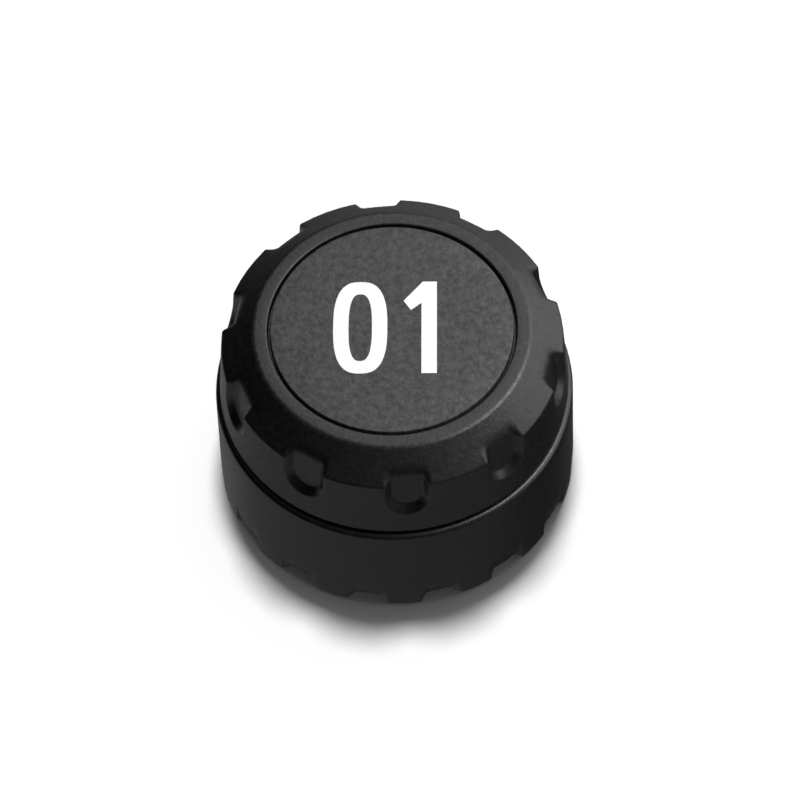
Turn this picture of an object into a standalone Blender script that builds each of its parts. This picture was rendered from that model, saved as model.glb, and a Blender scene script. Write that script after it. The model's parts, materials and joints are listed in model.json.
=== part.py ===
"""Screw-on tyre pressure sensor: a round two-piece housing that takes the place of a valve's dust cap.

Metres, +Z up. The origin is at the middle of the underside, on the axis that the cap turns about.
The cap's front is at -Y. Lengths below are in millimetres and are scaled by MM where they are used.
"""

import math

import bmesh
import bpy
from mathutils import Matrix, Vector

MM = 0.001

# ---- driving dimensions (mm) ----------------------------------------------------------------
HEIGHT = 16.25            # underside to the top of the cap
BASE_R_TOP = 12.5         # largest radius, at the top of the base's wall
BASE_R_LOW = 12.38        # base wall at its foot
BASE_WALL_TOP = 8.75      # where the base's wall turns into its top bevel
FLANGE_Z = 9.2            # flat top of the base that the cap closes on
BEVEL_R = 12.05           # inner edge of the base's top bevel

NECK_R = 9.6              # root of the neck's thread
NECK_BORE = 8.6
NECK_TOP = 13.2
THREAD_CREST = 10.15      # crest of the neck's thread
CAP_ROOT = 10.45          # root of the cap's thread
CAP_CREST = 9.85          # crest of the cap's thread
THREAD_PITCH = 1.2
THREAD_W_ROOT = 0.62
THREAD_W_CREST = 0.26
NECK_THREAD_Z = 10.9      # middle of the neck's ridge where it starts
NECK_THREAD_TURNS = 1.5
CAP_THREAD_TURNS = 1.8
CAP_THREAD_START = -0.7   # turns before the neck's start, half a pitch higher

CAP_FOOT = 9.5            # underside of the cap's skirt
CAP_FOOT_R = 12.1
SHOULDER_R = 11.66        # lower edge of the cap's cone
SHOULDER_Z = 14.44
RIM_R = 9.6               # where the rim's rounded edge meets the cone
RIM_Z = 16.1
DISC_RECESS_R = 8.55
DISC_R = 8.2
DISC_FLOOR = 15.75
ROOF_UNDER = 15.0

POCKETS = 10              # wrench pockets round the cap
POCKET_PHASE = 2.9        # degrees from the front, towards +X
POCKET_HALF_W = 1.40
POCKET_FLOOR_R = 11.05
POCKET_LOW = 11.65
POCKET_ROUND = 1.2        # height of the round lower end
NOTCHES = 15              # wrench notches round the base's bottom edge
NOTCH_PHASE = 12.4
NOTCH_HALF_W = 1.2
NOTCH_HIGH = 1.3
NOTCH_FLOOR_R = 11.65

SEAL_R = 10.75            # O-ring: radius of its middle line
SEAL_TUBE = 0.4
SEAL_SEAT_R = 11.3        # counterbore in the cap's skirt
SEAL_SEAT_Z = 10.1

INSERT_R = 5.2            # brass insert
INSERT_LOW = 0.4
INSERT_TOP = 6.9
SOCKET_R = 3.9            # root of the valve thread (0.305 in - 32)
SOCKET_CREST = 3.52
SOCKET_PITCH = 0.794
SOCKET_ROOF = 6.2
AIR_HOLE_R = 1.1
FIT = 0.1                 # gap between pieces that sit in each other

CHAMBER_FLOOR = 7.0       # room under the circuit board
CHAMBER_R = 7.4
BOARD_R = 8.45
BOARD_LOW = 8.25
BOARD_TOP = 9.05
SCREW_Y = 6.4             # the two board screws stand at +Y and -Y

CELL_R = 8.0              # CR1632 coin cell
CELL_LOW = 11.0
CELL_TOP = 14.2

ROUND = 60                # segments of the large turned pieces

for old in list(bpy.data.objects):
    bpy.data.objects.remove(old, do_unlink=True)


# ---- helpers --------------------------------------------------------------------------------
def finish(name, colour, roughness, metallic=0.0):
    mat = bpy.data.materials.new(name)
    mat.use_nodes = True
    shader = mat.node_tree.nodes["Principled BSDF"]
    shader.inputs["Base Color"].default_value = (*colour, 1.0)
    shader.inputs["Roughness"].default_value = roughness
    shader.inputs["Metallic"].default_value = metallic
    mat.diffuse_color = (*colour, 1.0)
    return mat


def frame(name, parent=None):
    empty = bpy.data.objects.new(name, None)
    bpy.context.collection.objects.link(empty)
    empty.empty_display_size = 4 * MM
    empty.parent = parent
    return empty


def put(name, bm, mat=None, parent=None, at=(0, 0, 0)):
    """Turns a bmesh into a named object, smooth-shaded with its sharp edges kept."""
    bmesh.ops.recalc_face_normals(bm, faces=bm.faces[:])
    mesh = bpy.data.meshes.new(name)
    bm.to_mesh(mesh)
    bm.free()
    mesh.shade_smooth()
    mesh.set_sharp_from_angle(angle=math.radians(32))
    obj = bpy.data.objects.new(name, mesh)
    bpy.context.collection.objects.link(obj)
    obj.location = Vector(at) * MM
    obj.parent = parent
    if mat:
        mesh.materials.append(mat)
    return obj


def turned(points, segments=ROUND):
    """A bmesh turned about Z from (radius, height) points. Points at radius 0 close it on the axis."""
    bm = bmesh.new()
    verts = [bm.verts.new((r * MM, 0, z * MM)) for r, z in points]
    pairs = list(zip(verts, verts[1:]))
    if points[0][0] > 0 or points[-1][0] > 0:
        pairs.append((verts[-1], verts[0]))
    edges = [bm.edges.new(pair) for pair in pairs]
    bmesh.ops.spin(
        bm, geom=verts + edges, cent=(0, 0, 0), axis=(0, 0, 1),
        angle=math.tau, steps=segments, use_merge=True,
    )
    bmesh.ops.remove_doubles(bm, verts=bm.verts[:], dist=1e-7)
    return bm


def prism(bm, outline, low, high):
    """Adds a straight prism over an (x, y) outline."""
    face = bm.faces.new([bm.verts.new((x * MM, y * MM, low * MM)) for x, y in outline])
    up = bmesh.ops.extrude_face_region(bm, geom=[face])["geom"]
    bmesh.ops.translate(
        bm, verts=[v for v in up if isinstance(v, bmesh.types.BMVert)],
        vec=(0, 0, (high - low) * MM),
    )
    return bm


def ring_of(radius, count, phase=0.0):
    return [
        (radius * math.cos(math.tau * i / count + phase), radius * math.sin(math.tau * i / count + phase))
        for i in range(count)
    ]


def block(size, bevel=0.0):
    """A box standing on its local origin, with its edges bevelled."""
    bm = bmesh.new()
    bmesh.ops.create_cube(bm, size=1.0)
    bmesh.ops.scale(bm, vec=Vector(size) * MM, verts=bm.verts[:])
    bmesh.ops.translate(bm, vec=(0, 0, size[2] * MM / 2), verts=bm.verts[:])
    if bevel:
        bmesh.ops.bevel(bm, geom=bm.edges[:], offset=bevel * MM, segments=1, affect="EDGES")
    return bm


def ridge(root, crest, low, turns, pitch, w_root, w_crest, steps, start=0.0, sink=0.15):
    """One helical ridge on a round wall: outwards if crest > root, inwards if not. It ends blunt and low."""
    out = 1 if crest > root else -1
    slope = (w_root - w_crest) / abs(crest - root)
    foot = root - out * sink
    w_foot = w_root + slope * sink
    count = round(turns * steps)
    bm = bmesh.new()
    rows = []
    for i in range(count + 1):
        angle = math.tau * (i / steps) + start
        z = low + pitch * i / steps
        rise = min(1.0, 0.35 + 0.22 * i, 0.35 + 0.22 * (count - i))
        top = root + rise * (crest - root)
        w_top = w_root - slope * abs(top - root)
        row = []
        for r, h in ((foot, -w_foot / 2), (top, -w_top / 2), (top, w_top / 2), (foot, w_foot / 2)):
            row.append(bm.verts.new((r * MM * math.cos(angle), r * MM * math.sin(angle), (z + h) * MM)))
        rows.append(row)
    for a, b in zip(rows, rows[1:]):
        for i in range(4):
            j = (i + 1) % 4
            bm.faces.new((a[i], a[j], b[j], b[i]))
    bm.faces.new(rows[0])
    bm.faces.new(rows[-1])
    return bm


def pocket(bm, degrees, half_w, z_round, z_end, round_h, r_in, r_out, draft):
    """Adds one U-shaped cutter that looks outwards at an angle from the front. It is round at z_round, open at z_end."""
    side = 1 if z_end > z_round else -1
    turn = Matrix.Rotation(math.radians(degrees), 4, "Z")
    loops = []
    for radius in (r_in, r_out):
        wide = half_w + draft * (radius - r_in)
        line = [(wide, z_end)]
        for i in range(9):
            t = math.pi * i / 8
            line.append((wide * math.cos(t), z_round + side * round_h * (1 - math.sin(t))))
        line.append((-wide, z_end))
        loops.append([bm.verts.new(turn @ Vector((x * MM, -radius * MM, z * MM))) for x, z in line])
    a, b = loops
    count = len(a)
    bm.faces.new(a)
    bm.faces.new(b[::-1])
    for i in range(count):
        j = (i + 1) % count
        bm.faces.new((a[j], a[i], b[i], b[j]))


def strip(path, thick, width):
    """A bent metal strip: a centre line in (x, z), widened along Y."""
    bm = bmesh.new()
    pts = [Vector(p) for p in path]
    upper, lower = [], []
    for i, p in enumerate(pts):
        dirs = [(pts[k + 1] - pts[k]).normalized() for k in (i - 1, i) if 0 <= k < len(pts) - 1]
        normals = [Vector((-d.y, d.x)) for d in dirs]
        mitre = sum(normals, Vector((0, 0))).normalized()
        mitre /= mitre.dot(normals[0])
        upper.append(p + mitre * thick / 2)
        lower.append(p - mitre * thick / 2)
    outline = upper + lower[::-1]
    face = bm.faces.new([bm.verts.new((p.x * MM, -width / 2 * MM, p.y * MM)) for p in outline])
    moved = bmesh.ops.extrude_face_region(bm, geom=[face])["geom"]
    bmesh.ops.translate(
        bm, verts=[v for v in moved if isinstance(v, bmesh.types.BMVert)], vec=(0, width * MM, 0)
    )
    return bm


def shape(obj, tool_name, bm, operation="DIFFERENCE"):
    """Cuts or joins a helper shape, which stays hidden."""
    tool = put(tool_name, bm, parent=obj.parent)
    tool.hide_render = True
    tool.display_type = "WIRE"
    mod = obj.modifiers.new(tool_name, "BOOLEAN")
    mod.operation = operation
    mod.solver = "EXACT"
    mod.object = tool
    return tool


# ---- finishes -------------------------------------------------------------------------------
CAP_BLACK = finish("cap_black", (0.022, 0.022, 0.023), 0.42)
DISC_BLACK = finish("disc_black", (0.035, 0.035, 0.036), 0.62)
BASE_BLACK = finish("base_black", (0.020, 0.020, 0.021), 0.48)
BRASS = finish("brass", (0.72, 0.52, 0.24), 0.32, 1.0)
RUBBER = finish("rubber", (0.018, 0.018, 0.018), 0.75)
SEAL_RUBBER = finish("seal_rubber", (0.30, 0.05, 0.03), 0.6)
STEEL = finish("steel", (0.62, 0.62, 0.63), 0.28, 1.0)
NICKEL = finish("nickel", (0.70, 0.68, 0.64), 0.24, 1.0)
COPPER = finish("copper", (0.80, 0.42, 0.24), 0.3, 1.0)
BOARD_GREEN = finish("board_green", (0.015, 0.16, 0.06), 0.4)
CHIP_BLACK = finish("chip_black", (0.03, 0.03, 0.03), 0.5)
CERAMIC = finish("ceramic", (0.55, 0.42, 0.30), 0.45)
NYLON = finish("nylon", (0.75, 0.74, 0.70), 0.5)
CELL_RING = finish("cell_ring", (0.10, 0.10, 0.12), 0.5)
FOAM = finish("foam", (0.10, 0.10, 0.10), 0.9)

# ---- frames: base, then the seal that rises with the cap, then the cap that turns -------------
base_frame = frame("base_frame")
seal_frame = frame("seal_frame", base_frame)
cap_frame = frame("cap_frame", seal_frame)

# ---- base housing ---------------------------------------------------------------------------
base = put("base_housing", turned([
    (NECK_R, NECK_TOP), (NECK_R, FLANGE_Z), (BEVEL_R, FLANGE_Z), (BASE_R_TOP, BASE_WALL_TOP),
    (BASE_R_LOW, 0.2), (BASE_R_LOW - 0.2, 0.0), (INSERT_R + FIT + 0.25, 0.0), (INSERT_R + FIT, 0.25),
    (INSERT_R + FIT, CHAMBER_FLOOR), (CHAMBER_R, CHAMBER_FLOOR), (CHAMBER_R, BOARD_LOW - FIT),
    (NECK_BORE, BOARD_LOW - FIT), (NECK_BORE, NECK_TOP),
]), BASE_BLACK, base_frame)

cut = bmesh.new()
for k in range(NOTCHES):
    pocket(cut, NOTCH_PHASE + 360 / NOTCHES * k, NOTCH_HALF_W - 0.06, NOTCH_HIGH, -1.0, 0.9, NOTCH_FLOOR_R, 14.0, 0.06)
shape(base, "notch_cutter", cut)

posts = bmesh.new()
for sign in (1, -1):
    prism(posts, [(x, y + sign * SCREW_Y) for x, y in ring_of(1.05, 16)], CHAMBER_FLOOR - 0.5, BOARD_LOW - FIT)
shape(base, "screw_posts", posts, "UNION")

shape(base, "neck_ridge", ridge(
    NECK_R, THREAD_CREST, NECK_THREAD_Z, NECK_THREAD_TURNS, THREAD_PITCH, THREAD_W_ROOT, THREAD_W_CREST, 40,
), "UNION")

drill = bmesh.new()
for sign in (1, -1):
    prism(drill, [(x, y + sign * SCREW_Y) for x, y in ring_of(0.52, 16)], 5.4, 9.0)
shape(base, "screw_drill", drill)

# ---- brass insert with the valve thread -----------------------------------------------------
insert = put("valve_thread_insert", turned([
    (INSERT_R, INSERT_TOP), (INSERT_R, 4.3), (INSERT_R - 0.4, 4.0), (INSERT_R - 0.4, 3.0), (INSERT_R, 2.7),
    (INSERT_R, INSERT_LOW), (SOCKET_R + 0.35, INSERT_LOW), (SOCKET_R, INSERT_LOW + 0.35),
    (SOCKET_R, SOCKET_ROOF), (AIR_HOLE_R, SOCKET_ROOF), (AIR_HOLE_R, INSERT_TOP),
], 36), BRASS, base_frame)
shape(insert, "valve_ridge", ridge(
    SOCKET_R, SOCKET_CREST, 1.15, 4.6, SOCKET_PITCH, 0.58, 0.14, 20,
), "UNION")

put("valve_gasket", turned([
    (3.3, SOCKET_ROOF - FIT), (3.42, SOCKET_ROOF - 0.22), (3.42, 5.3), (3.3, 5.15), (1.75, 5.15), (1.6, 5.3),
    (1.6, SOCKET_ROOF - 0.22), (1.72, SOCKET_ROOF - FIT),
], 36), RUBBER, base_frame)

pin = put("valve_depressor_pin", turned([(0, 4.2), (0.42, 4.2), (0.55, 4.33), (0.55, 6.78), (0, 6.78)], 20), STEEL, base_frame)
wings = bmesh.new()
prism(wings, [
    (r * math.cos(a), r * math.sin(a))
    for lobe in range(3)
    for a, r in (
        (math.tau * lobe / 3 - 0.22, 1.02), (math.tau * lobe / 3 + 0.22, 1.02),
        (math.tau * lobe / 3 + 0.62, 0.46), (math.tau * (lobe + 1) / 3 - 0.62, 0.46),
    )
], SOCKET_ROOF - 0.05, INSERT_TOP - 0.05)
shape(pin, "pin_wings", wings, "UNION")

# ---- circuit board and what it carries --------------------------------------------------------
board = put("circuit_board", turned([(0, BOARD_TOP), (BOARD_R, BOARD_TOP), (BOARD_R, BOARD_LOW), (0, BOARD_LOW)], 48), BOARD_GREEN, base_frame)
holes = bmesh.new()
for sign in (1, -1):
    prism(holes, [(x, y + sign * SCREW_Y) for x, y in ring_of(0.62, 16)], BOARD_LOW - 1, BOARD_TOP + 1)
shape(board, "board_holes", holes)

put("port_seal", turned([
    (4.6, BOARD_LOW - FIT), (4.8, BOARD_LOW - 0.3), (4.8, 7.15), (4.6, INSERT_TOP + FIT),
    (4.0, INSERT_TOP + FIT), (3.8, 7.15), (3.8, BOARD_LOW - 0.3), (4.0, BOARD_LOW - FIT),
], 36), SEAL_RUBBER, base_frame)
put("sensor_chip", block((4.6, 4.6, 0.95), 0.12), CHIP_BLACK, base_frame, (0, 0, BOARD_LOW - 0.05 - 0.95))

ON_BOARD = BOARD_TOP + 0.05
put("radio_crystal", block((3.2, 2.5, 0.75), 0.1), NICKEL, base_frame, (-3.1, 3.7, ON_BOARD))
put("storage_capacitor", block((3.2, 1.7, 1.3), 0.08), CERAMIC, base_frame, (-2.9, -3.7, ON_BOARD))
put("tuning_capacitor_1", block((1.6, 0.8, 0.7), 0.06), CERAMIC, base_frame, (0.9, 2.6, ON_BOARD))
put("tuning_capacitor_2", block((1.6, 0.8, 0.7), 0.06), CERAMIC, base_frame, (0.9, 4.0, ON_BOARD))
put("matching_inductor", block((1.6, 1.0, 0.9), 0.08), CHIP_BLACK, base_frame, (1.4, -2.7, ON_BOARD))
put("bias_resistor", block((1.6, 0.8, 0.45), 0.05), CHIP_BLACK, base_frame, (1.4, -4.2, ON_BOARD))

# ---- antenna: a wire loop on two feet ---------------------------------------------------------
line = bpy.data.curves.new("antenna_loop", "CURVE")
line.dimensions = "3D"
line.bevel_depth = 0.28 * MM
line.bevel_resolution = 2
line.use_fill_caps = True
SPAN = math.radians(62)
LOOP_R, LOOP_Z, BEND = 6.65, 9.95, 0.55
route = []
for t in (0.0, 0.5):
    route.append((-SPAN, ON_BOARD + t * (LOOP_Z - BEND - ON_BOARD)))
for i in range(5):
    a = math.pi / 2 * i / 4
    route.append((-SPAN + BEND * (1 - math.cos(a)) / LOOP_R, LOOP_Z - BEND * (1 - math.sin(a))))
inner = 18
for i in range(1, inner):
    route.append((-SPAN + BEND / LOOP_R + (2 * SPAN - 2 * BEND / LOOP_R) * i / inner, LOOP_Z))
route += [(-a, z) for a, z in route[:7][::-1]]
spline = line.splines.new("POLY")
spline.points.add(len(route) - 1)
for point, (a, z) in zip(spline.points, route):
    point.co = (LOOP_R * math.cos(a) * MM, LOOP_R * math.sin(a) * MM, z * MM, 1)
antenna = bpy.data.objects.new("antenna_loop", line)
bpy.context.collection.objects.link(antenna)
antenna.parent = base_frame
line.materials.append(COPPER)

# ---- cell, its contacts and its spacer --------------------------------------------------------
put("negative_contact", strip([
    (-3.6, ON_BOARD + 0.1), (-1.6, ON_BOARD + 0.1), (-1.1, 9.4), (2.2, 10.72), (2.75, 10.8), (3.3, 10.55),
], 0.16, 2.4), NICKEL, base_frame)
put("positive_contact", strip([
    (-8.24, ON_BOARD + 0.05), (-8.24, 14.1), (-7.95, 14.39), (7.95, 14.39), (8.24, 14.1), (8.24, ON_BOARD + 0.05),
], 0.18, 3.0), NICKEL, base_frame)

spacer = put("battery_spacer", turned([
    (8.46, CELL_LOW + 0.05), (8.46, ON_BOARD + 0.05), (7.42, ON_BOARD + 0.05), (7.42, CELL_LOW + 0.05),
], 48), NYLON, base_frame)
slots = bmesh.new()
for sign in (1, -1):
    prism(slots, [(sign * x, y) for x, y in ((7.85, -1.8), (9.5, -1.8), (9.5, 1.8), (7.85, 1.8))], 8.0, 12.0)
shape(spacer, "strap_slots", slots)

put("battery_can", turned([
    (0, CELL_TOP), (7.65, CELL_TOP), (CELL_R, CELL_TOP - 0.35), (CELL_R, 11.4), (7.8, 11.2),
    (7.5, 11.2), (7.5, 12.05), (0, 12.05),
], 48), STEEL, base_frame)
put("battery_seal", turned([(7.42, 11.95), (7.42, 11.1), (6.98, 11.1), (6.98, 11.95)], 48), CELL_RING, base_frame)
put("battery_negative_cup", turned([(0, 11.95), (6.9, 11.95), (6.9, 11.25), (6.65, CELL_LOW), (0, CELL_LOW)], 48), STEEL, base_frame)

# ---- board screws -----------------------------------------------------------------------------
for index, sign in ((1, 1), (2, -1)):
    screw = put(f"board_screw_{index}", turned([
        (0, 9.72), (0.6, 9.66), (0.95, 9.35), (0.95, ON_BOARD + 0.05), (0.42, ON_BOARD + 0.05), (0.42, 6.2), (0.2, 5.7), (0, 5.7),
    ], 20), STEEL, base_frame, (0, sign * SCREW_Y, 0))
    cross = bmesh.new()
    long, thin = 0.62, 0.14
    prism(cross, [
        (long, -thin), (long, thin), (thin, thin), (thin, long), (-thin, long), (-thin, thin),
        (-long, thin), (-long, -thin), (-thin, -thin), (-thin, -long), (thin, -long), (thin, -thin),
    ], 9.4, 10.2)
    tool = shape(screw, f"screw_cross_{index}", cross)
    tool.location = screw.location

# ---- O-ring that rises with the cap -----------------------------------------------------------
put("main_seal", turned([
    (SEAL_R + SEAL_TUBE * math.cos(math.tau * i / 8), (FLANGE_Z + SEAL_SEAT_Z) / 2 + SEAL_TUBE * math.sin(math.tau * i / 8))
    for i in range(8)
], 40), RUBBER, seal_frame)

# ---- cap --------------------------------------------------------------------------------------
cap = put("top_cap", turned([
    (0, DISC_FLOOR), (DISC_RECESS_R, DISC_FLOOR), (DISC_RECESS_R, HEIGHT - 0.06), (DISC_RECESS_R + 0.06, HEIGHT),
    (RIM_R - 0.3, HEIGHT), (RIM_R, RIM_Z), (SHOULDER_R, SHOULDER_Z), (CAP_FOOT_R, CAP_FOOT + 0.15),
    (CAP_FOOT_R - 0.15, CAP_FOOT), (SEAL_SEAT_R, CAP_FOOT), (SEAL_SEAT_R, SEAL_SEAT_Z), (CAP_ROOT, SEAL_SEAT_Z),
    (CAP_ROOT, 13.3), (10.1, 13.6), (10.1, 14.4), (9.5, ROOF_UNDER), (0, ROOF_UNDER),
]), CAP_BLACK, cap_frame)
cut = bmesh.new()
for k in range(POCKETS):
    pocket(cut, POCKET_PHASE + 360 / POCKETS * k, POCKET_HALF_W - 0.1, POCKET_LOW, 16.8, POCKET_ROUND, POCKET_FLOOR_R, 13.6, 0.1)
shape(cap, "pocket_cutter", cut)
shape(cap, "cap_ridge", ridge(
    CAP_ROOT, CAP_CREST, NECK_THREAD_Z + THREAD_PITCH * (0.5 + CAP_THREAD_START), CAP_THREAD_TURNS, THREAD_PITCH,
    THREAD_W_ROOT, THREAD_W_CREST, 40, math.tau * CAP_THREAD_START,
), "UNION")

put("label_disc", turned([
    (0, HEIGHT), (DISC_R - 0.06, HEIGHT), (DISC_R, HEIGHT - 0.06), (DISC_R, DISC_FLOOR + 0.05), (0, DISC_FLOOR + 0.05),
], 60), DISC_BLACK, cap_frame)
put("battery_pad", turned([(5.2, ROOF_UNDER - 0.05), (5.2, 14.55), (2.2, 14.55), (2.2, ROOF_UNDER - 0.05)], 36), FOAM, cap_frame)
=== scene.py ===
"""Looks of the screw-on tyre pressure sensor: fine shells, finishes, floor, light and camera. Metres, +Z up."""

import json
import math

import bpy
import numpy as np
from mathutils import Matrix, Vector

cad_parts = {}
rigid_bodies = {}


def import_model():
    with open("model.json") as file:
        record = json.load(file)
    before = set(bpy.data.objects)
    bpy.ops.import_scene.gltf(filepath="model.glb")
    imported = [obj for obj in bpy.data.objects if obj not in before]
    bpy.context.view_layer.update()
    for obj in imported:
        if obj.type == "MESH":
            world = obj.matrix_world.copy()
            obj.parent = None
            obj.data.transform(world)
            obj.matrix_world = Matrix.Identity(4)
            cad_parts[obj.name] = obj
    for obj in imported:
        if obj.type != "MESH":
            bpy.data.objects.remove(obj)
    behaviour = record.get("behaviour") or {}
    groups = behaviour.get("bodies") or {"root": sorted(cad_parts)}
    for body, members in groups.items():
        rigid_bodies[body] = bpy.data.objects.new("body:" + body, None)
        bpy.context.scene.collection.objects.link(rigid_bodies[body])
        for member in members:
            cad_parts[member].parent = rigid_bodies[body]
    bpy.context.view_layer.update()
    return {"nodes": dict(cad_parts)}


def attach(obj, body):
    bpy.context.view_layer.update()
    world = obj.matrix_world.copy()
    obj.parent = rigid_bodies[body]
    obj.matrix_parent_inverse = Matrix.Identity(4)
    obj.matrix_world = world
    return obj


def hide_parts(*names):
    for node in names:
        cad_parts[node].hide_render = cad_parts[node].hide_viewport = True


for old in list(bpy.data.objects):
    bpy.data.objects.remove(old, do_unlink=True)

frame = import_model()

MM = 0.001
TAU = math.tau
nodes = frame["nodes"]

# ---- sizes shared with the construction (mm) --------------------------------------------------
HEIGHT = 16.25
SHOULDER_R, SHOULDER_Z, FOOT_R, FOOT_Z = 11.74, 14.50, 12.1, 9.29
POCKETS, POCKET_PHASE, POCKET_HALF_W = 10, 2.9, 1.32
POCKET_FLOOR, POCKET_DRAFT, POCKET_LOW, POCKET_ROUND = 11.42, 0.17, 11.72, 1.5  # floor radius at z 12 and its lean
NOTCHES, NOTCH_PHASE, NOTCH_HALF_W = 15, 12.4, 1.18
NOTCH_HIGH, NOTCH_ROUND, NOTCH_FLOOR_R = 1.22, 0.9, 11.66
PITCH, W_ROOT, W_CREST = 1.2, 0.62, 0.26


# ---- mesh helpers -----------------------------------------------------------------------------
def rounded(points, n=5):
    """Profile points (r, z, fillet radius) turned into a polyline with its corners rounded."""
    out = []
    count = len(points)
    for i, (r, z, f) in enumerate(points):
        p = np.array((r, z), float)
        if f <= 0 or i in (0, count - 1):
            out.append(p)
            continue
        a = np.array(points[i - 1][:2], float) - p
        b = np.array(points[i + 1][:2], float) - p
        la, lb = np.linalg.norm(a), np.linalg.norm(b)
        a, b = a / la, b / lb
        half = math.acos(max(-1.0, min(1.0, float(a @ b)))) / 2
        cut = min(f / math.tan(half), 0.48 * la, 0.48 * lb)
        radius = cut * math.tan(half)
        mid = (a + b) / np.linalg.norm(a + b)
        centre = p + mid * radius / math.sin(half)
        start, end = p + a * cut, p + b * cut
        u, v = start - centre, end - centre
        angle = math.acos(max(-1.0, min(1.0, float(u @ v) / (np.linalg.norm(u) * np.linalg.norm(v)))))
        for k in range(n + 1):
            t = k / n
            out.append(centre + (math.sin((1 - t) * angle) * u + math.sin(t * angle) * v) / max(math.sin(angle), 1e-9))
    return out


def refine(line, steps):
    """Adds points to a polyline so that no step is longer than steps(r, z)."""
    out = [line[0]]
    for p, q in zip(line, line[1:]):
        gap = np.linalg.norm(q - p)
        n = max(1, math.ceil(gap / steps(*((p + q) / 2)) - 1e-6))
        for k in range(1, n + 1):
            out.append(p + (q - p) * k / n)
    return np.array(out)


def sectors(count, phase, dense_half, n_dense, n_rest):
    """Angles from the front (radians), close together near each of count repeated features."""
    pitch = 360 / count
    one = list(np.linspace(-dense_half, dense_half, n_dense + 1))
    one += list(np.linspace(dense_half, pitch - dense_half, n_rest + 1))[1:-1]
    return np.radians(np.array([phase + k * pitch + a for k in range(count) for a in one]))


def ring_points(angles, r, z):
    """x, y, z of points at angles from the front, towards +X."""
    return np.stack([r * np.sin(angles), -r * np.cos(angles), z], -1)


def skin(name, rows, mats, slot_of=None, loop=False):
    """A closed mesh from rows of points. A row of one point is a pole; loop joins the last row to the first."""
    verts, starts = [], []
    for row in rows:
        starts.append(sum(len(v) for v in verts))
        verts.append(row)
    points = np.concatenate(verts) * MM
    cols = max(len(r) for r in rows)
    faces, slots = [], []
    pairs = list(zip(range(len(rows)), range(1, len(rows))))
    if loop:
        pairs.append((len(rows) - 1, 0))
    for i, j in pairs:
        a, b = starts[i], starts[j]
        s = slot_of(i) if slot_of else 0
        for k in range(cols):
            m = (k + 1) % cols
            if len(rows[i]) == 1:
                faces.append((a, b + k, b + m))
            elif len(rows[j]) == 1:
                faces.append((a + k, b, a + m))
            else:
                faces.append((a + k, b + k, b + m, a + m))
            slots.append(s)
    mesh = bpy.data.meshes.new(name)
    mesh.from_pydata(points.tolist(), [], faces)
    for m in mats:
        mesh.materials.append(m)
    mesh.polygons.foreach_set("material_index", slots)
    mesh.update()
    # faces point out where the enclosed volume is positive
    mesh.calc_loop_triangles()
    tri = np.empty(len(mesh.loop_triangles) * 3, np.int32)
    mesh.loop_triangles.foreach_get("vertices", tri)
    corner = points[tri.reshape(-1, 3)]
    if np.einsum("ij,ij->i", corner[:, 0], np.cross(corner[:, 1], corner[:, 2])).sum() < 0:
        mesh.flip_normals()
    mesh.shade_smooth()
    mesh.set_sharp_from_angle(angle=math.radians(50))
    obj = bpy.data.objects.new(name, mesh)
    bpy.context.scene.collection.objects.link(obj)
    return obj


def smooth_step(x, lo, hi):
    t = np.clip((x - lo) / (hi - lo), 0, 1)
    return t * t * (3 - 2 * t)


def ramp(x, ease=0.22):
    """0 to 1 as x goes from -1 to 1: a straight slope with short rounded ends."""
    x = np.clip((x + 1) / 2, 0, 1)
    top = 1 / (1 - ease)
    mid = top * (x - ease / 2)
    return np.where(x < ease, top * x * x / (2 * ease), np.where(x > 1 - ease, 1 - top * (1 - x) ** 2 / (2 * ease), mid))


def soft_min(a, b, k):
    h = np.maximum(k - np.abs(a - b), 0) / k
    return np.minimum(a, b) - h * h * k / 4


def scallop(angles, r, z, count, phase, half_w, z_round, round_h, floor_r, up, soft, blend=0.05):
    """Radius after U-shaped pockets are pressed into a round wall. They open upwards or downwards.

    soft gives the half width of the slope at the pocket's sides and at its round end."""
    pitch = TAU / count
    rel = (angles - math.radians(phase) + pitch / 2) % pitch - pitch / 2
    u, v = r * np.sin(rel), r * np.cos(rel)
    side = 1 if up else -1
    middle = z_round + side * round_h
    across = (u / half_w) ** 2
    along = (np.maximum(side * (middle - z), 0) / round_h) ** 2
    share = along / np.maximum(across + along, 1e-9)
    width = soft[0] / half_w * (1 - share) + soft[1] / round_h * share
    t = ramp((1 - np.sqrt(across + along)) / width)
    v2 = v + t * (soft_min(v, floor_r, blend) - v)
    return np.sqrt(u * u + v2 * v2), angles - rel + np.arctan2(u, v2)


def thread(angles, z, root, crest, low, turns, pitch, w_root, w_crest, start, ends=0.35):
    """Radius of a round wall with one helical ridge on it; angles are from the front."""
    theta = angles - math.pi / 2  # from +X
    best = np.zeros_like(z + angles)
    base = ((theta - start) / TAU) % 1.0
    for n in range(-1, int(math.ceil(turns)) + 1):
        a = base + n
        dz = np.abs(z - (low + pitch * a))
        h = np.clip((w_root / 2 - dz) / ((w_root - w_crest) / 2), 0, 1)
        h = h * h * (3 - 2 * h) * 0.5 + h * 0.5
        fade = smooth_step(a, 0.0, 0.06) * smooth_step(turns - a, 0.0, 0.06)
        best = np.maximum(best, h * fade)
    return root + best * (crest - root)


# ---- materials --------------------------------------------------------------------------------
def shader(name):
    mat = bpy.data.materials.new(name)
    mat.use_nodes = True
    tree = mat.node_tree
    return mat, tree, tree.nodes["Principled BSDF"]


def noise(tree, coords, scale, detail=2.0, rough=0.55):
    n = tree.nodes.new("ShaderNodeTexNoise")
    n.inputs["Scale"].default_value = scale
    n.inputs["Detail"].default_value = detail
    n.inputs["Roughness"].default_value = rough
    tree.links.new(coords, n.inputs["Vector"])
    return n.outputs["Fac"]


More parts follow.
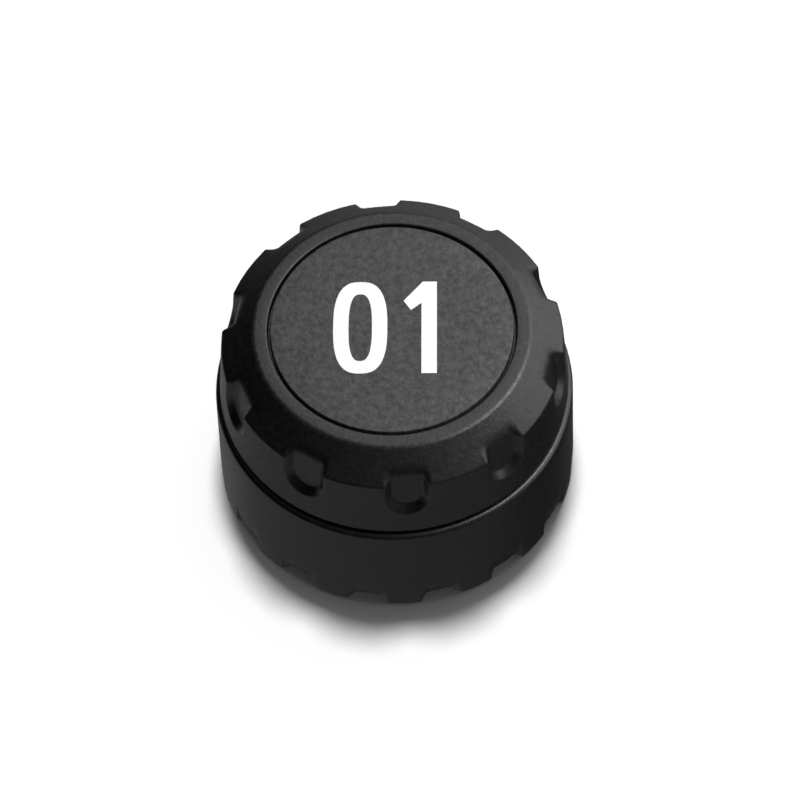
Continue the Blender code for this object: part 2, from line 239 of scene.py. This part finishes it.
def ranged(tree, value, lo, hi, a=0.3, b=0.7):
    n = tree.nodes.new("ShaderNodeMapRange")
    n.inputs["From Min"].default_value = a
    n.inputs["From Max"].default_value = b
    n.inputs["To Min"].default_value = lo
    n.inputs["To Max"].default_value = hi
    tree.links.new(value, n.inputs["Value"])
    return n.outputs["Result"]


def two_tone(tree, value, dark, light, a=0.35, b=0.65):
    n = tree.nodes.new("ShaderNodeValToRGB")
    n.color_ramp.elements[0].position = a
    n.color_ramp.elements[0].color = (*dark, 1)
    n.color_ramp.elements[1].position = b
    n.color_ramp.elements[1].color = (*light, 1)
    tree.links.new(value, n.inputs["Fac"])
    return n.outputs["Color"]


def bump(tree, value, strength, distance, under=None):
    n = tree.nodes.new("ShaderNodeBump")
    n.inputs["Strength"].default_value = strength
    n.inputs["Distance"].default_value = distance
    tree.links.new(value, n.inputs["Height"])
    if under is not None:
        tree.links.new(under, n.inputs["Normal"])
    return n.outputs["Normal"]


def object_coords(tree):
    return tree.nodes.new("ShaderNodeTexCoord").outputs["Object"]


def plastic(name, dark, light, rough, spec, grain=7000.0, depth=0.000012, strength=0.5, mottle=1700.0, ior=1.5):
    """Moulded plastic: fine spark-eroded grain, faint mottling in colour and gloss."""
    mat, tree, bsdf = shader(name)
    co = object_coords(tree)
    fine = noise(tree, co, grain, 3.0, 0.6)
    wide = noise(tree, co, mottle, 4.0, 0.65)
    tree.links.new(two_tone(tree, wide, dark, light), bsdf.inputs["Base Color"])
    tree.links.new(ranged(tree, fine, rough[0], rough[1]), bsdf.inputs["Roughness"])
    low = bump(tree, wide, strength * 0.35, depth * 2.0)
    tree.links.new(bump(tree, fine, strength, depth, low), bsdf.inputs["Normal"])
    bsdf.inputs["Specular IOR Level"].default_value = spec
    bsdf.inputs["IOR"].default_value = ior
    return mat


def metal(name, dark, light, rough, stretch=(1, 1, 1), scale=2500.0, depth=0.000004):
    """Bare or plated metal with fine streaks from turning, drawing or stamping."""
    mat, tree, bsdf = shader(name)
    mapping = tree.nodes.new("ShaderNodeMapping")
    mapping.inputs["Scale"].default_value = stretch
    tree.links.new(object_coords(tree), mapping.inputs["Vector"])
    fine = noise(tree, mapping.outputs["Vector"], scale, 3.0, 0.6)
    wide = noise(tree, object_coords(tree), 500.0, 3.0, 0.6)
    tree.links.new(two_tone(tree, wide, dark, light), bsdf.inputs["Base Color"])
    tree.links.new(ranged(tree, fine, rough[0], rough[1]), bsdf.inputs["Roughness"])
    tree.links.new(bump(tree, fine, 0.4, depth), bsdf.inputs["Normal"])
    bsdf.inputs["Metallic"].default_value = 1.0
    return mat


CAP_GRAIN = plastic("cap_grain", (0.0022, 0.0022, 0.0023), (0.0085, 0.0085, 0.0087), (0.30, 0.48), 0.5, grain=3700.0, depth=0.000026, strength=0.65, mottle=2300.0)
CAP_WALL = plastic("cap_wall", (0.0015, 0.0015, 0.0016), (0.0085, 0.0085, 0.0087), (0.29, 0.44), 0.5, grain=3400.0, depth=0.000018, strength=0.5, mottle=2600.0)
DISC = plastic("disc_grain", (0.017, 0.017, 0.0173), (0.053, 0.053, 0.0535), (0.42, 0.70), 0.5, grain=2700.0, depth=0.000042, strength=0.8, mottle=2500.0)
BASE = plastic("base_satin", (0.0015, 0.0015, 0.0016), (0.0085, 0.0085, 0.0087), (0.27, 0.42), 0.5, grain=4200.0, depth=0.000011, strength=0.45, mottle=2600.0)
INK = plastic("number_ink", (0.90, 0.90, 0.895), (0.94, 0.94, 0.935), (0.45, 0.6), 0.4, grain=6000.0, depth=0.000004, strength=0.2)
RUBBER = plastic("black_rubber", (0.008, 0.008, 0.008), (0.016, 0.016, 0.016), (0.6, 0.8), 0.35, grain=9000.0, depth=0.000006)
SILICONE = plastic("red_silicone", (0.22, 0.03, 0.018), (0.32, 0.05, 0.03), (0.5, 0.66), 0.4, grain=5000.0, depth=0.000005)
BRASS = metal("turned_brass", (0.60, 0.40, 0.15), (0.78, 0.57, 0.26), (0.20, 0.36), (1, 1, 14))
STEEL = metal("plain_steel", (0.48, 0.48, 0.49), (0.62, 0.62, 0.63), (0.22, 0.38), (1, 1, 10))
CELL_STEEL = metal("cell_steel", (0.62, 0.62, 0.62), (0.74, 0.74, 0.73), (0.16, 0.32), (1, 14, 1))
NICKEL = metal("nickel_strip", (0.60, 0.58, 0.54), (0.76, 0.74, 0.70), (0.18, 0.32), (14, 1, 1))
COPPER = metal("copper_wire", (0.66, 0.30, 0.15), (0.85, 0.46, 0.27), (0.2, 0.34), (1, 1, 6))
NYLON = plastic("natural_nylon", (0.62, 0.61, 0.57), (0.74, 0.73, 0.69), (0.4, 0.55), 0.45, grain=4000.0, depth=0.000006)
CELL_RING = plastic("cell_ring", (0.07, 0.07, 0.085), (0.11, 0.11, 0.13), (0.4, 0.55), 0.45)
CHIP = plastic("chip_package", (0.016, 0.016, 0.017), (0.028, 0.028, 0.029), (0.42, 0.6), 0.45, grain=12000.0)
CERAMIC = plastic("chip_ceramic", (0.36, 0.25, 0.16), (0.50, 0.37, 0.26), (0.35, 0.5), 0.5, grain=9000.0)
FOAM = plastic("closed_foam", (0.03, 0.03, 0.03), (0.075, 0.075, 0.075), (0.85, 0.98), 0.2, grain=4200.0, depth=0.00006, strength=0.9)
BOARD = plastic("board_mask", (0.006, 0.07, 0.026), (0.012, 0.12, 0.045), (0.22, 0.36), 0.5, grain=3000.0, depth=0.000006, mottle=900.0)

# ---- cap --------------------------------------------------------------------------------------
outer = rounded([
    (8.45, 15.76, 0), (8.53, HEIGHT, 0.13), (9.51, HEIGHT, 0.6), (SHOULDER_R, SHOULDER_Z, 0.30), (FOOT_R, FOOT_Z + 0.18, 0.16),
    (11.94, FOOT_Z, 0.1), (11.3, FOOT_Z, 0.06), (11.3, 10.1, 0.05), (10.45, 10.1, 0),
], 7)


def cap_steps(r, z):
    if r > 10.2 and z > 11.2:
        return 0.07 if z < 13.0 or z > 14.0 else 0.16
    return 0.4


outer = refine(outer, cap_steps)
inner = refine(rounded([
    (10.45, 10.1, 0), (10.45, 13.3, 0.05), (10.1, 13.6, 0.1), (10.1, 14.4, 0.1), (9.5, 15.0, 0.1), (1.0, 15.0, 0),
], 3), lambda r, z: 0.1 if r > 10.3 else 1.6)[1:]
angles = sectors(POCKETS, POCKET_PHASE, 8.6, 40, 4)
rows, wall_row = [ring_points(np.zeros(1), 0.0, np.array([15.76]))], []
rows.append(ring_points(angles, 4.0, np.full_like(angles, 15.76)))
kinds = [0, 0]
for r, z in outer:
    zz = np.full_like(angles, z)
    rr, aa = np.full_like(angles, r), angles
    if r > 9.4 and z > 11.0:
        floor_r = POCKET_FLOOR - POCKET_DRAFT * (z - 12.0)
        rr, aa = scallop(angles, rr, zz, POCKETS, POCKET_PHASE, POCKET_HALF_W, POCKET_LOW, POCKET_ROUND, floor_r, True, (0.32, 0.38), 0.5)
    rows.append(ring_points(aa, rr, zz))
    kinds.append(1 if z < 14.4 else 0)
for r, z in inner:
    zz = np.full_like(angles, z)
    rr = np.full_like(angles, r)
    if r > 10.3:
        rr = thread(angles, zz, r, 9.85, 10.9 + PITCH * (0.5 - 0.7), 1.8, PITCH, W_ROOT, W_CREST, -0.7 * TAU)
    rows.append(ring_points(angles, rr, zz))
    kinds.append(1)
rows.append(ring_points(np.zeros(1), 0.0, np.array([15.0])))
kinds.append(1)
cap = skin("cap_shell", rows, [CAP_GRAIN, CAP_WALL], lambda i: kinds[i])
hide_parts("top_cap")
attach(cap, "cap")

# ---- disc in the cap's top, and the number printed on it ---------------------------------------
DISC_TOP = HEIGHT - 0.015
circle = np.linspace(0, TAU, 240, endpoint=False)
line = rounded([(6.0, DISC_TOP, 0), (8.30, DISC_TOP, 0.07), (8.35, 15.8, 0.03), (6.0, 15.8, 0)], 6)
rows = [ring_points(np.zeros(1), 0.0, np.array([DISC_TOP]))]
rows += [ring_points(circle, r, np.full_like(circle, z)) for r, z in line]
rows.append(ring_points(np.zeros(1), 0.0, np.array([15.8])))
disc = skin("face_disc", rows, [DISC])
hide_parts("label_disc")
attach(disc, "cap")


def printed(name, loops, low, high):
    """A thin printed shape: one outline, or an outer and an inner outline with the same number of points."""
    verts, faces = [], []
    for loop in loops:
        for z in (low, high):
            verts += [(x * MM, y * MM, z * MM) for x, y in loop]
    n = len(loops[0])
    if len(loops) == 1:
        faces += [tuple(range(n, 2 * n)), tuple(reversed(range(n)))]
        faces += [(i, (i + 1) % n, n + (i + 1) % n, n + i) for i in range(n)]
    else:
        for i in range(n):
            j = (i + 1) % n
            faces += [
                (n + i, n + j, 3 * n + j, 3 * n + i), (i, 2 * n + i, 2 * n + j, j),
                (i, j, n + j, n + i), (2 * n + i, 3 * n + i, 3 * n + j, 2 * n + j),
            ]
    mesh = bpy.data.meshes.new(name)
    mesh.from_pydata(verts, [], faces)
    mesh.materials.append(INK)
    mesh.update()
    obj = bpy.data.objects.new(name, mesh)
    bpy.context.scene.collection.objects.link(obj)
    obj.rotation_euler = (0, 0, math.radians(-2.4))
    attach(obj, "cap")
    return obj


def oval(cx, cy, half_w, half_h, count=64):
    power = 2 / 2.7
    pts = []
    for i in range(count):
        a = TAU * i / count
        c, s = math.cos(a), math.sin(a)
        pts.append((cx + half_w * math.copysign(abs(c) ** power, c), cy + half_h * math.copysign(abs(s) ** power, s)))
    return pts


MARK_Y, MARK_H, STROKE = 0.05, 7.4, 1.05
printed("number_zero", [oval(-2.15, MARK_Y, 1.85, MARK_H / 2), oval(-2.15, MARK_Y, 1.85 - STROKE, MARK_H / 2 - STROKE * 0.95)], DISC_TOP - 0.004, HEIGHT)
one_x, top, foot = 2.55, MARK_Y + MARK_H / 2, MARK_Y - MARK_H / 2
printed("number_one", [[
    (one_x - STROKE / 2, foot), (one_x + STROKE / 2, foot), (one_x + STROKE / 2, top), (one_x - 0.42 * STROKE, top),
    (one_x - 1.75, top - 1.55), (one_x - 1.25, top - 2.3), (one_x - STROKE / 2, top - 1.72),
]], DISC_TOP - 0.004, HEIGHT)

# ---- base -------------------------------------------------------------------------------------
outside = refine(rounded([
    (8.65, 13.2, 0), (9.55, 13.2, 0.12), (9.6, 13.1, 0.03), (9.6, 9.2, 0.1), (11.4, 9.2, 0.1), (11.55, 9.03, 0.08), (12.40, 9.03, 0.38),
    (12.498, 0.0, 0.3), (5.6, 0.0, 0.1), (5.3, 0.3, 0.05),
    (5.3, 7.0, 0.05), (7.4, 7.0, 0.1), (7.4, 8.15, 0.05), (8.6, 8.15, 0.1), (8.6, 13.1, 0.05), (8.65, 13.2, 0),
], 7), lambda r, z: 0.1 if 9.4 < r < 9.7 and z > 9.4 else 0.06 if r > 11.4 and z < 1.75 else 1.2)[:-1]
angles = sectors(NOTCHES, NOTCH_PHASE, 7.2, 32, 3)
rows = []
for r, z in outside:
    zz, rr, aa = np.full_like(angles, z), np.full_like(angles, r), angles
    if r > 11.4 and z < 1.9:
        rr, aa = scallop(angles, rr, zz, NOTCHES, NOTCH_PHASE, NOTCH_HALF_W, NOTCH_HIGH, NOTCH_ROUND, NOTCH_FLOOR_R, False, (0.34, 0.2))
    elif 9.59 < r < 9.61 and z > 9.4:
        rr = thread(angles, zz, 9.6, 10.15, 10.9, 1.5, PITCH, W_ROOT, W_CREST, 0.0)
    rows.append(ring_points(aa, rr, zz))
base = skin("base_shell", rows, [BASE], loop=True)
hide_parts("base_housing")
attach(base, "base")


def turned(name, profile, mat, node, body, cols=120, at=(0.0, 0.0), loop=True, shape=None):
    """A fine turned piece that stands for a node. The profile is (r, z, fillet); radius 0 ends on the axis."""
    a = np.linspace(0, TAU, cols, endpoint=False)
    line = rounded(profile, 5) if not callable(profile) else profile()
    rows = []
    for r, z in line:
        if r < 1e-6:
            rows.append(np.array([[at[0], at[1], z]]))
            continue
        rr = np.full_like(a, r)
        if shape:
            rr = shape(a, rr, np.full_like(a, z))
        rows.append(ring_points(a, rr, np.full_like(a, z)) + np.array([at[0], at[1], 0.0]))
    piece = skin(name, rows, [mat], loop=loop)
    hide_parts(node)
    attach(piece, body)
    return piece


# ---- what shows from underneath and in the seam -------------------------------------------------
seal_line = [(10.75 + 0.4 * math.cos(t), 9.65 + 0.4 * math.sin(t)) for t in np.linspace(0, TAU, 20, endpoint=False)]
turned("seal_ring", lambda: seal_line, RUBBER, "main_seal", "seal", 200)


def insert_line():
    line = rounded([
        (1.1, 6.9, 0), (5.2, 6.9, 0.1), (5.2, 4.3, 0.1), (4.8, 4.0, 0.1), (4.8, 3.0, 0.1), (5.2, 2.7, 0.1), (5.2, 0.4, 0.12),
        (4.25, 0.4, 0.06), (3.9, 0.75, 0.05), (3.9, 6.2, 0.1), (1.1, 6.2, 0.08), (1.1, 6.9, 0),
    ], 4)
    return refine(line, lambda r, z: 0.06 if 3.85 < r < 3.95 and z < 5.4 else 1.5)[:-1]


def insert_shape(a, rr, zz):
    if abs(rr[0] - 3.9) < 0.002 and zz[0] < 5.6:
        return thread(a, zz, 3.9, 3.52, 1.15, 4.6, 0.794, 0.58, 0.14, 0.0)
    if rr[0] > 5.1 and 0.55 < zz[0] < 6.8:
        return rr - 0.05 + 0.05 * np.cos(a * 60)
    return rr


turned("valve_socket_brass", insert_line, BRASS, "valve_thread_insert", "base", 360, shape=insert_shape)
turned("stem_gasket", [
    (1.6, 5.6, 0), (1.6, 6.1, 0.12), (3.42, 6.1, 0.12), (3.42, 5.15, 0.15), (1.6, 5.15, 0.15), (1.6, 5.6, 0),
], RUBBER, "valve_gasket", "base", 96)

# ---- finishes of the pieces inside --------------------------------------------------------------
INSIDE = {
    "valve_depressor_pin": STEEL, "port_seal": SILICONE, "circuit_board": BOARD, "sensor_chip": CHIP,
    "radio_crystal": NICKEL, "storage_capacitor": CERAMIC, "tuning_capacitor_1": CERAMIC, "tuning_capacitor_2": CERAMIC,
    "matching_inductor": CHIP, "bias_resistor": CHIP, "antenna_loop": COPPER, "negative_contact": NICKEL,
    "positive_contact": NICKEL, "battery_spacer": NYLON, "battery_can": CELL_STEEL, "battery_seal": CELL_RING,
    "battery_negative_cup": CELL_STEEL, "board_screw_1": STEEL, "board_screw_2": STEEL, "battery_pad": FOAM,
}
for name, mat in INSIDE.items():
    obj = nodes[name]
    obj.data.materials.clear()
    obj.data.materials.append(mat)

ROOM_HIGH, ROOM_SIDE, ROOM_RIGHT = 0.20, 0.20, 0.50  # surroundings above the floor: middle, right minus left, far right
ROOM_LOW, LOW_LEFT, LOW_RIGHT, LOW_BACK, LOW_DROP, LOW_CORNER = 0.125, -0.072, -0.04, -0.11, -0.12, 2.0  # and low down
LOW_FAR, FAR_RIGHT = 0.95, 1.1  # the floor is paler further out, but less so on the right
ROOM_BACK = 0.6  # and far behind

# ---- floor, light and camera ----------------------------------------------------------------------
FLOOR_R = 3.0
floor_mesh = bpy.data.meshes.new("floor")
floor_mesh.from_pydata([(FLOOR_R * x, FLOOR_R * y, -0.00004) for x, y in ((-1, -1), (1, -1), (1, 1), (-1, 1))], [], [(0, 1, 2, 3)])
floor = bpy.data.objects.new("floor", floor_mesh)
bpy.context.scene.collection.objects.link(floor)
mat, tree, bsdf = shader("floor_paper")
tree.links.new(two_tone(tree, noise(tree, object_coords(tree), 12.0), (0.258, 0.258, 0.258), (0.266, 0.266, 0.266)), bsdf.inputs["Base Color"])
bsdf.inputs["Roughness"].default_value = 0.9
bsdf.inputs["Specular IOR Level"].default_value = 0.1
floor_mesh.materials.append(mat)


def soft_light(name, at, aim, size, radiance, lights_up, shape="DISK"):
    """A soft box of even brightness that lights only the objects of one collection."""
    data = bpy.data.lights.new(name, "AREA")
    data.shape = shape
    data.size, data.size_y = size
    area = size[0] * size[1] * (math.pi / 4 if shape in ("DISK", "ELLIPSE") else 1.0)
    data.energy = radiance * math.pi * area
    obj = bpy.data.objects.new(name, data)
    bpy.context.scene.collection.objects.link(obj)
    obj.location = at
    obj.rotation_euler = (Vector(aim) - Vector(at)).to_track_quat("-Z", "Y").to_euler()
    obj.light_linking.receiver_collection = lights_up
    obj.visible_camera = False
    return obj


on_object = bpy.data.collections.new("on_object")
on_floor = bpy.data.collections.new("on_floor")
on_floor.objects.link(floor)
for obj in bpy.context.scene.objects:
    if obj.type == "MESH" and obj is not floor:
        on_object.objects.link(obj)
floor.visible_glossy = False
floor.visible_diffuse = False
floor.visible_shadow = False

soft_light("key", (0.056, 0.004, 0.086), (0, 0, 0.016), (0.045, 0.045), 7.4, on_object)
soft_light("front_fill", (0.041, -0.014, 0.095), (0, 0, 0.016), (0.036, 0.036), 4.0, on_object)
soft_light("right_box", (0.132, 0.040, 0.054), (0, 0, 0.014), (0.20, 0.10), 1.6, on_object, "RECTANGLE")
soft_light("back_box", (0.052, 0.080, 0.141), (0, 0, 0.016), (0.16, 0.16), 1.85, on_object)
soft_light("floor_box", (0.011, 0.131, 0.60), (0, 0, 0), (0.12, 0.12), 343.0, on_floor)
soft_light("floor_wide", (0.012, 0.130, 0.60), (0, 0, 0), (0.45, 0.45), 4.0, on_floor)
soft_light("floor_front", (0.0, -0.60, 0.36), (0, 0, 0), (0.30, 0.30), 3.0, on_floor)

# dim surroundings: paler low down, towards the left and behind; the camera itself sees a plain pale backdrop
world = bpy.data.worlds.new("studio")
bpy.context.scene.world = world
world.use_nodes = True
tree = world.node_tree
background = tree.nodes["Background"]
background.inputs["Color"].default_value = (1, 1, 1, 1)


def sums(op, a, b=None, c=None, clamp=False):
    n = tree.nodes.new("ShaderNodeMath")
    n.operation = op
    n.use_clamp = clamp
    for socket, value in zip(n.inputs, (a, b, c)):
        if value is None:
            continue
        if isinstance(value, (int, float)):
            socket.default_value = value
        else:
            tree.links.new(value, socket)
    return n.outputs[0]


axes = tree.nodes.new("ShaderNodeSeparateXYZ")
tree.links.new(tree.nodes.new("ShaderNodeTexCoord").outputs["Generated"], axes.inputs[0])
x, y, z = axes.outputs
right = sums("MAXIMUM", x, 0.0)
above = sums("DIVIDE", sums("SUBTRACT", z, 0.42), 0.28, clamp=True)
upper = sums("MULTIPLY", sums("MULTIPLY_ADD", x, ROOM_SIDE, ROOM_HIGH), sums("MULTIPLY_ADD", above, 0.70, 0.30))
far_right = sums("MULTIPLY", sums("MULTIPLY", right, right), ROOM_RIGHT)
upper = sums("ADD", upper, sums("MULTIPLY", far_right, sums("MULTIPLY_ADD", sums("MAXIMUM", z, 0.0), 0.87, 0.35)))
lower = sums("ADD", sums("MULTIPLY", sums("MINIMUM", x, 0.0), LOW_LEFT), sums("MULTIPLY_ADD", right, LOW_RIGHT, ROOM_LOW))
lower = sums("MULTIPLY_ADD", y, LOW_BACK, lower)
drop = sums("DIVIDE", sums("ADD", y, 0.35), 0.3, clamp=True)
lower = sums("MAXIMUM", sums("MULTIPLY_ADD", sums("MULTIPLY", right, LOW_DROP), drop, lower), 0.01)
further = sums("DIVIDE", sums("ADD", z, 0.88), 0.3, clamp=True)
further = sums("MULTIPLY", further, sums("MULTIPLY_ADD", right, -FAR_RIGHT, 1.0, clamp=True))
lower = sums("MULTIPLY", lower, sums("MULTIPLY_ADD", further, LOW_FAR, 1.0))
behind = sums("POWER", sums("MAXIMUM", y, 0.0), 3.0)
behind = sums("MULTIPLY", behind, sums("MAXIMUM", sums("MULTIPLY_ADD", x, ROOM_BACK, 0.5 * ROOM_BACK), 0.0))
deep = sums("DIVIDE", sums("SUBTRACT", -0.3, z), 0.4, clamp=True)
corner = sums("MULTIPLY", sums("MAXIMUM", sums("MULTIPLY", x, -LOW_CORNER), 0.0), sums("POWER", sums("MAXIMUM", y, 0.0), 2.0))
lower = sums("MULTIPLY_ADD", corner, deep, lower)
share = sums("DIVIDE", sums("SUBTRACT", -0.15, z), 0.35, clamp=True)
room = sums("ADD", sums("MULTIPLY_ADD", sums("SUBTRACT", lower, upper), share, upper), behind)
seen = tree.nodes.new("ShaderNodeLightPath").outputs["Is Camera Ray"]
room = sums("ADD", sums("MULTIPLY", sums("SUBTRACT", 0.92, room), seen), room)
tree.links.new(room, background.inputs["Strength"])

ELEVATION, ROLL = math.radians(57.96), math.radians(-2.49)
AIM, FAR = Vector((0, 0, 0.009)), 0.3333
lens = bpy.data.cameras.new("camera")
lens.sensor_width = 36.0
lens.lens = 14.402 * 333.33 * 36.0 / 800
lens.shift_x = 5.8 / 800
lens.shift_y = -15.7 / 800
lens.clip_start = 0.01
lens.clip_end = 20
camera = bpy.data.objects.new("camera", lens)
bpy.context.scene.collection.objects.link(camera)
eye = AIM + FAR * Vector((0, -math.cos(ELEVATION), math.sin(ELEVATION)))
turn = (AIM - eye).to_track_quat("-Z", "Y").to_matrix().to_4x4() @ Matrix.Rotation(ROLL, 4, "Z")
camera.matrix_world = Matrix.Translation(eye) @ turn
bpy.context.scene.camera = camera
bpy.context.scene.view_settings.view_transform = "Standard"
